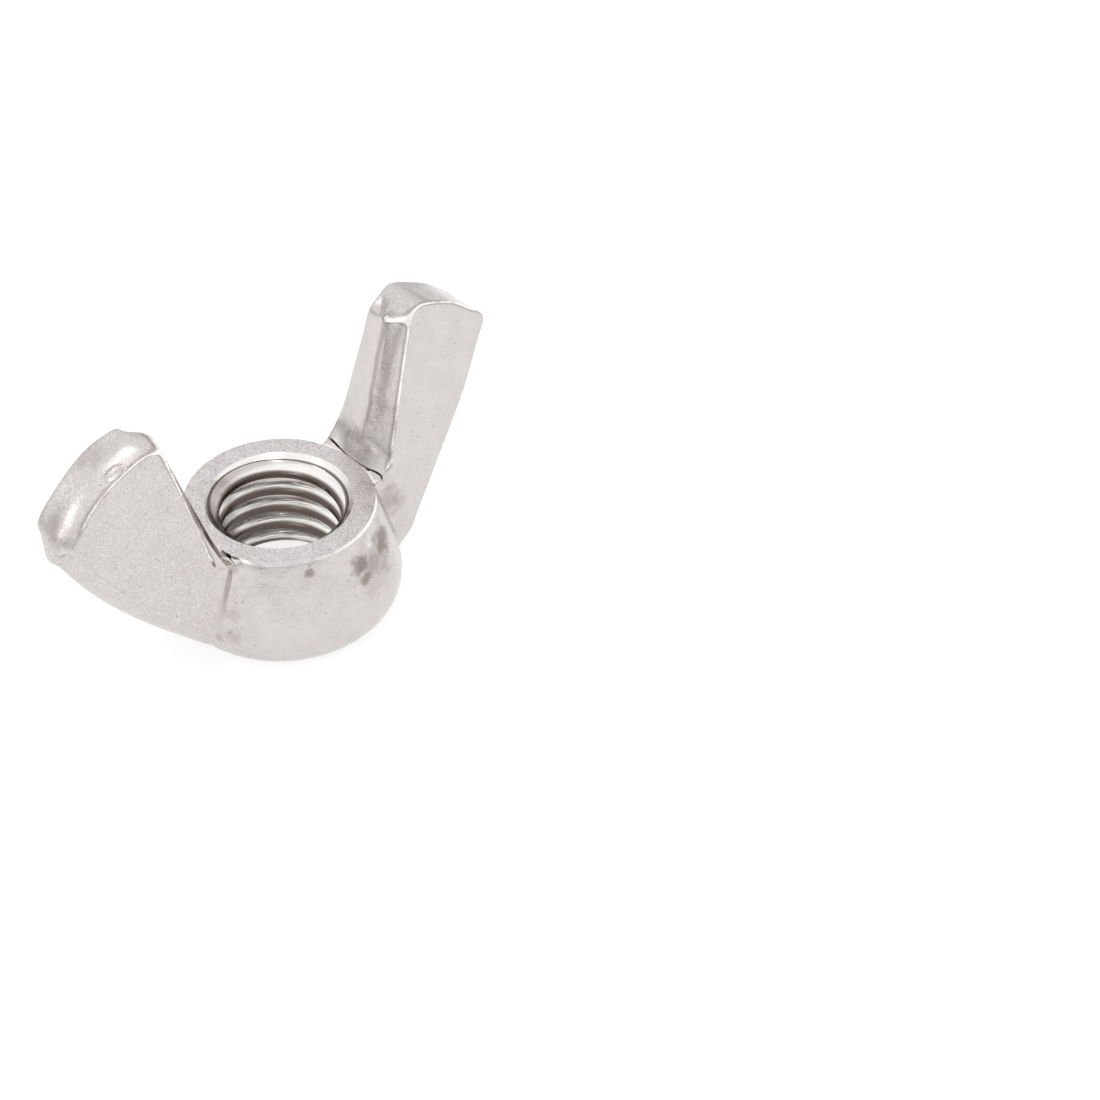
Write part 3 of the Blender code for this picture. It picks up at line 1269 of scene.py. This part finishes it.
@dataclass
class Thread:
    """The tapped thread, metric coarse and right-handed."""

    finish: bpy.types.Material
    diameter: float = 8.0 * MM
    pitch: float = 1.25 * MM
    crest_angle: float = math.radians(-103.0)
    steps: int = 144
    turns: int = 9

    def tap(self) -> bpy.types.Object:
        """Make the screw-shaped cutter, one pitch of its section wound up and closed.

        Returns:
            The tap.
        """
        full = self.pitch * math.sqrt(3.0) / 2.0
        major = self.diameter / 2.0
        minor = major - full * 5.0 / 8.0
        rise = self.pitch
        section = [(minor, -rise / 8), (minor, rise / 8)]
        root = [(major - 0.06 * MM, 7 / 16 - 0.03), (major, 0.475), (major, 0.525),
                (major - 0.06 * MM, 9 / 16 + 0.03)]
        section += [(radius, share * rise) for radius, share in root]
        section.append((minor, rise * 7 / 8))
        clear_selection()
        bpy.ops.mesh.primitive_circle_add(vertices=len(section), radius=MM, location=(0, 0, 0))
        tap = added("tap")
        start = -2.0 * self.pitch
        for vert, (radius, height) in zip(tap.data.vertices, section):
            vert.co = (radius, 0.0, start + height)
        bpy.ops.object.mode_set(mode="EDIT")
        mesh = bmesh.from_edit_mesh(tap.data)
        mesh.verts.ensure_lookup_table()
        closing = [e for e in mesh.edges if {v.index for v in e.verts} == {0, len(section) - 1}]
        bmesh.ops.delete(mesh, geom=closing, context="EDGES_FACES")
        bmesh.update_edit_mesh(tap.data)
        bpy.ops.object.mode_set(mode="OBJECT")
        wound = tap.modifiers.new("wound", "SCREW")
        wound.steps = self.steps
        wound.render_steps = self.steps
        wound.screw_offset = self.pitch
        wound.iterations = self.turns
        wound.use_merge_vertices = True
        wound.merge_threshold = 0.001 * MM
        apply_modifier(tap, "wound")
        bpy.ops.object.mode_set(mode="EDIT")
        bpy.ops.mesh.select_all(action="SELECT")
        bpy.ops.mesh.remove_doubles(threshold=0.002 * MM)
        bpy.ops.mesh.select_all(action="DESELECT")
        for above in (False, True):
            mesh = bmesh.from_edit_mesh(tap.data)
            middle = start + self.pitch * self.turns / 2
            for vert in mesh.verts:
                vert.select_set(False)
            for edge in mesh.edges:
                if edge.is_boundary and (edge.verts[0].co.z > middle) == above:
                    edge.select_set(True)
            bmesh.update_edit_mesh(tap.data)
            bpy.ops.mesh.extrude_edges_move()
            bpy.ops.mesh.merge(type="CENTER")
        bpy.ops.mesh.select_all(action="SELECT")
        bpy.ops.mesh.normals_make_consistent(inside=False)
        bpy.ops.transform.rotate(value=-self.crest_angle, orient_axis="Z", center_override=(0, 0, 0))
        bpy.ops.object.mode_set(mode="OBJECT")
        tap.data.materials.append(self.finish)
        return tap


@dataclass(frozen=True)
class Gash:
    """A short crack or burr mark: where it is, how long, wide and deep, and its turn about Z."""

    centre: Point
    size: Point
    turn: float

    def punched(self, finish: bpy.types.Material) -> bpy.types.Object:
        """Make the sharp wedge that leaves the mark.

        Args:
            finish: finish of the mark's walls.

        Returns:
            The wedge.
        """
        clear_selection()
        bpy.ops.mesh.primitive_cone_add(vertices=8, radius1=0.5, radius2=0.12, depth=1.0,
                                        rotation=(math.pi, 0, 0))
        wedge = added("gash")
        bpy.ops.object.transform_apply(location=False, rotation=True, scale=False)
        wedge.scale = tuple(value * MM for value in self.size)
        wedge.rotation_euler = (0.0, 0.0, math.radians(self.turn))
        wedge.location = tuple(value * MM for value in self.centre)
        bpy.ops.object.transform_apply(location=True, rotation=True, scale=True)
        wedge.data.materials.append(finish)
        return wedge


@dataclass
class Machining:
    """Facing, countersinking and tapping of the forging."""

    ring: bpy.types.Material
    thread: bpy.types.Material
    height: float = 6.65 * MM
    facing_radius: float = 5.46 * MM
    mouth_radius: float = 4.06 * MM
    root_lines: tuple[float, ...] = (5.34 * MM, -4.92 * MM)
    fold_depth: float = 0.30 * MM
    fold_width: float = 0.13 * MM
    fold_length: float = 5.6 * MM
    clear: float = 12.0 * MM
    gashes: tuple[Gash, ...] = (
        Gash((-4.90, -1.62, 6.55), (0.22, 1.00, 1.10), 6.0),
        Gash((-5.02, -2.75, 6.40), (0.10, 0.62, 0.70), 32.0),
        Gash((5.30, -1.20, 6.60), (0.20, 0.80, 0.80), -4.0),
        Gash((4.80, -2.35, 6.55), (0.12, 0.80, 0.60), 16.0),
        Gash((4.78, 1.98, 6.70), (0.14, 0.60, 0.40), 24.0),
        Gash((4.55, 2.45, 6.70), (0.12, 0.45, 0.36), 40.0),
        Gash((3.00, 3.62, 6.72), (0.30, 0.22, 0.26), 0.0),
        Gash((-2.05, -5.05, 6.25), (0.16, 0.30, 0.50), 20.0),
        Gash((-5.95, -2.62, 2.10), (0.18, 0.22, 0.50), 0.0),
    )
    nick_centre: Point = (-10.85, -1.05, 15.3)
    nick_size: Point = (0.62, 0.34, 0.12)
    sink_depth: float = 1.5 * MM
    broken_edge: float = 0.05 * MM

    def nick(self, nut: bpy.types.Object) -> bpy.types.Object:
        """Make the oval punch that marks the left wing's tip, square to the surface there.

        Args:
            nut: the forging, before it is cut.

        Returns:
            The punch.
        """
        sought = Vector(self.nick_centre) * MM
        _, spot, normal, _ = nut.closest_point_on_mesh(sought)
        clear_selection()
        bpy.ops.mesh.primitive_uv_sphere_add(segments=32, ring_count=16, radius=1.0)
        punch = added("nick")
        bpy.ops.object.transform_apply(location=True, rotation=True, scale=True)
        across = Vector((0.0, 1.0, 0.0))
        along = across.cross(normal).normalized()
        turned = Matrix((along, normal.cross(along).normalized(), normal)).transposed()
        scale = Matrix.Diagonal(Vector(self.nick_size) * MM)
        for vert in punch.data.vertices:
            vert.co = spot + turned @ (scale @ vert.co)
        punch.data.materials.append(self.ring)
        return punch

    def folded(self, line: float) -> bpy.types.Object:
        """Make the thin wedge that leaves a fold between the top ring and a wing's root.

        Args:
            line: place of the fold along X.

        Returns:
            The wedge.
        """
        clear_selection()
        bpy.ops.mesh.primitive_cube_add(size=1.0, location=(line, -0.25 * MM, self.height))
        wedge = added("fold")
        wedge.scale = (self.fold_width, self.fold_length, 2 * self.fold_depth)
        bpy.ops.object.transform_apply(location=True, rotation=True, scale=True)
        for vert in wedge.data.vertices:
            if vert.co.z < self.height:
                vert.co.x = line + (vert.co.x - line) * 0.3
        wedge.data.materials.append(self.ring)
        return wedge

    def cutters(self) -> list[bpy.types.Object]:
        """Make every cutter, in the order of use.

        Returns:
            The cutters.
        """
        top, seat, mouth = self.height, 0.0, self.mouth_radius
        deep = mouth - self.sink_depth
        swing = self.facing_radius
        facing = [(0.0, top), (swing, top), (swing, top + self.clear), (0.0, top + self.clear)]
        under = [(0.0, seat - 3 * MM), (self.clear, seat - 3 * MM), (self.clear, seat), (0.0, seat)]
        edge = self.broken_edge
        upper_sink = [(0.0, top - mouth + deep), (deep, top - mouth + deep), (mouth, top),
                      (mouth + edge * 2, top + edge * 0.9), (mouth + edge * 2, top + MM), (0.0, top + MM)]
        lower_sink = [(0.0, -MM), (mouth + MM, -MM), (deep, mouth - deep), (0.0, mouth - deep)]
        made = [Cutter("facing_cutter", facing, self.ring, flats=self.root_lines).ground()]
        made += [self.folded(line) for line in self.root_lines]
        made += [
            Cutter("seat_cutter", under, self.ring).ground(),
            Cutter("upper_countersink", upper_sink, self.thread).ground(),
            Cutter("lower_countersink", lower_sink, self.thread).ground(),
            Thread(self.thread).tap(),
        ]
        return made

    def machined(self, nut: bpy.types.Object) -> None:
        """Cut the forging with each cutter in turn.

        Args:
            nut: the forging, which becomes the finished nut.
        """
        marks = [gash.punched(self.thread) for gash in self.gashes] + [self.nick(nut)]
        for cutter in self.cutters() + marks:
            self.cut(nut, cutter)
            tool_mesh = cutter.data
            bpy.data.objects.remove(cutter, do_unlink=True)
            bpy.data.meshes.remove(tool_mesh)

    def cut(self, nut: bpy.types.Object, cutter: bpy.types.Object) -> None:
        """Take one cutter's shape out of the nut.

        Args:
            nut: the nut.
            cutter: the cutter, a closed mesh.
        """
        step = nut.modifiers.new(cutter.name, "BOOLEAN")
        step.operation = "DIFFERENCE"
        step.material_mode = "TRANSFER"
        step.object = cutter
        for solver in ("MANIFOLD", "EXACT"):
            step.solver = solver
            apply_modifier(nut, cutter.name)
            if cutter.name not in nut.modifiers:
                return
        raise RuntimeError(f"{cutter.name} left no cut")


@dataclass
class WingNut:
    """The whole nut."""

    forging: Forging = field(default_factory=Forging)

    def built(self) -> bpy.types.Object:
        """Forge, dress and machine the nut and tie it to the frame.

        Returns:
            The finished nut.
        """
        nut = self.forging.forged()
        nut.data.materials.append(ForgedSkin().made())
        Machining(FacedRing().made(), CutThread().made()).machined(nut)
        make_active(nut)
        bpy.ops.object.shade_smooth_by_angle(angle=math.radians(30.0))
        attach(nut, "root")
        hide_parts(CAD_NODE)
        return nut


# ---------------------------------------------------------------------------------------------
# Studio
# ---------------------------------------------------------------------------------------------

@dataclass
class Viewpoint:
    """The camera: where it stands, and how it is turned."""

    place: Vector = field(default_factory=lambda: Vector((-56.714, -75.051, 86.488)) * MM)
    azimuth: float = math.radians(46.18)
    elevation: float = math.radians(41.69)
    roll: float = math.radians(2.435)
    lens: float = 73.4
    sensor: float = 36.0
    nearest: float = 0.005
    farthest: float = 20.0

    def set_up(self) -> bpy.types.Object:
        """Place the camera and make it the scene's own.

        Returns:
            The camera.
        """
        data = bpy.data.cameras.new("viewpoint")
        data.lens = self.lens
        data.sensor_width = self.sensor
        data.clip_start = self.nearest
        data.clip_end = self.farthest
        camera = bpy.data.objects.new("viewpoint", data)
        bpy.context.scene.collection.objects.link(camera)
        sine, cosine = math.sin(self.elevation), math.cos(self.elevation)
        level = Matrix(((1, 0, 0), (0, sine, cosine), (0, cosine, -sine)))
        c, s = math.cos(self.roll), math.sin(self.roll)
        tilt = Matrix(((c, s, 0), (-s, c, 0), (0, 0, 1)))
        rows = tilt @ level @ Matrix.Rotation(self.azimuth, 3, "Z")
        turned = Matrix((rows[0], rows[1], -rows[2])).transposed()
        camera.matrix_world = Matrix.Translation(self.place) @ turned.to_4x4()
        bpy.context.scene.camera = camera
        return camera


@dataclass(frozen=True)
class Softbox:
    """One square soft light, turned to the nut: its place and size in metres, and its power in watts."""

    name: str
    place: Point
    size: float
    watts: float

    def hung(self) -> bpy.types.Object:
        """Hang the light.

        Returns:
            The light.
        """
        data = bpy.data.lights.new(self.name, "AREA")
        data.shape = "SQUARE"
        data.size = self.size
        data.energy = self.watts
        lamp = bpy.data.objects.new(self.name, data)
        bpy.context.scene.collection.objects.link(lamp)
        place = Vector(self.place)
        facing = place.to_track_quat("Z", "Y").to_matrix().to_4x4()
        lamp.matrix_world = Matrix.Translation(place) @ facing
        return lamp


@dataclass
class Studio:
    """Plain pale floor, soft lights and a pale surround."""

    floor_size: float = 8.0
    floor_drop: float = 0.02 * MM
    floor_grey: float = 0.35
    floor_glow: float = 0.72
    floor_roughness: float = 0.9
    softboxes: tuple[Softbox, ...] = (
        Softbox("overhead_softbox", (-0.05, 0.02, 0.42), 0.10, 0.12),
        Softbox("front_softbox", (-0.15, -0.24, 0.31), 0.07, 0.07),
        Softbox("left_softbox", (-0.38, 0.05, 0.20), 0.14, 0.12),
        Softbox("right_softbox", (0.34, -0.16, 0.16), 0.10, 0.06),
    )
    belts: tuple[tuple[float, float], ...] = ((0.0, 0.42), (0.15, 0.60), (0.36, 1.02), (0.8, 1.06))

    def lay_floor(self) -> None:
        """Lay the pale floor under the nut."""
        clear_selection()
        bpy.ops.mesh.primitive_plane_add(size=self.floor_size, location=(0, 0, -self.floor_drop))
        floor = added("floor")
        bpy.ops.object.transform_apply(location=True, rotation=True, scale=True)
        material = bpy.data.materials.new("pale_floor")
        material.use_nodes = True
        shader = material.node_tree.nodes["Principled BSDF"]
        shader.inputs["Base Color"].default_value = (*[self.floor_grey] * 3, 1.0)
        shader.inputs["Roughness"].default_value = self.floor_roughness
        shader.inputs["Emission Color"].default_value = (1.0, 1.0, 1.0, 1.0)
        shader.inputs["Emission Strength"].default_value = self.floor_glow
        floor.data.materials.append(material)

    def surround(self, tree: bpy.types.NodeTree) -> None:
        """Paint the surround: pale above, with a darker belt near the horizon.

        Args:
            tree: the world's node tree.
        """
        nodes, links = tree.nodes, tree.links
        look = nodes.new("ShaderNodeTexCoord")
        split = nodes.new("ShaderNodeSeparateXYZ")
        links.new(look.outputs["Generated"], split.inputs["Vector"])
        ramp = nodes.new("ShaderNodeValToRGB")
        links.new(split.outputs["Z"], ramp.inputs["Fac"])
        for place, grey in self.belts:
            stop = ramp.color_ramp.elements.new(place)
            stop.color = (grey, grey, grey, 1.0)
        ramp.color_ramp.elements.remove(ramp.color_ramp.elements[0])
        ramp.color_ramp.elements.remove(ramp.color_ramp.elements[-1])
        background = nodes["Background"]
        links.new(ramp.outputs["Color"], background.inputs["Color"])
        background.inputs["Strength"].default_value = 1.0

    def light(self) -> None:
        """Set the surround and the softboxes."""
        world = bpy.data.worlds.new("surround")
        bpy.context.scene.world = world
        world.use_nodes = True
        self.surround(world.node_tree)
        for softbox in self.softboxes:
            softbox.hung()
        bpy.context.scene.view_settings.view_transform = "Standard"


def main() -> None:
    """Build the scene piece by piece."""
    logging.basicConfig(level=logging.INFO, format="%(message)s")
    camera = Viewpoint().set_up()
    LOG.info("camera %s", camera.name)
    nut = WingNut().built()
    LOG.info("%s: %d faces", nut.name, len(nut.data.polygons))
    studio = Studio()
    studio.lay_floor()
    studio.light()


if __name__ == "__main__":
    main()
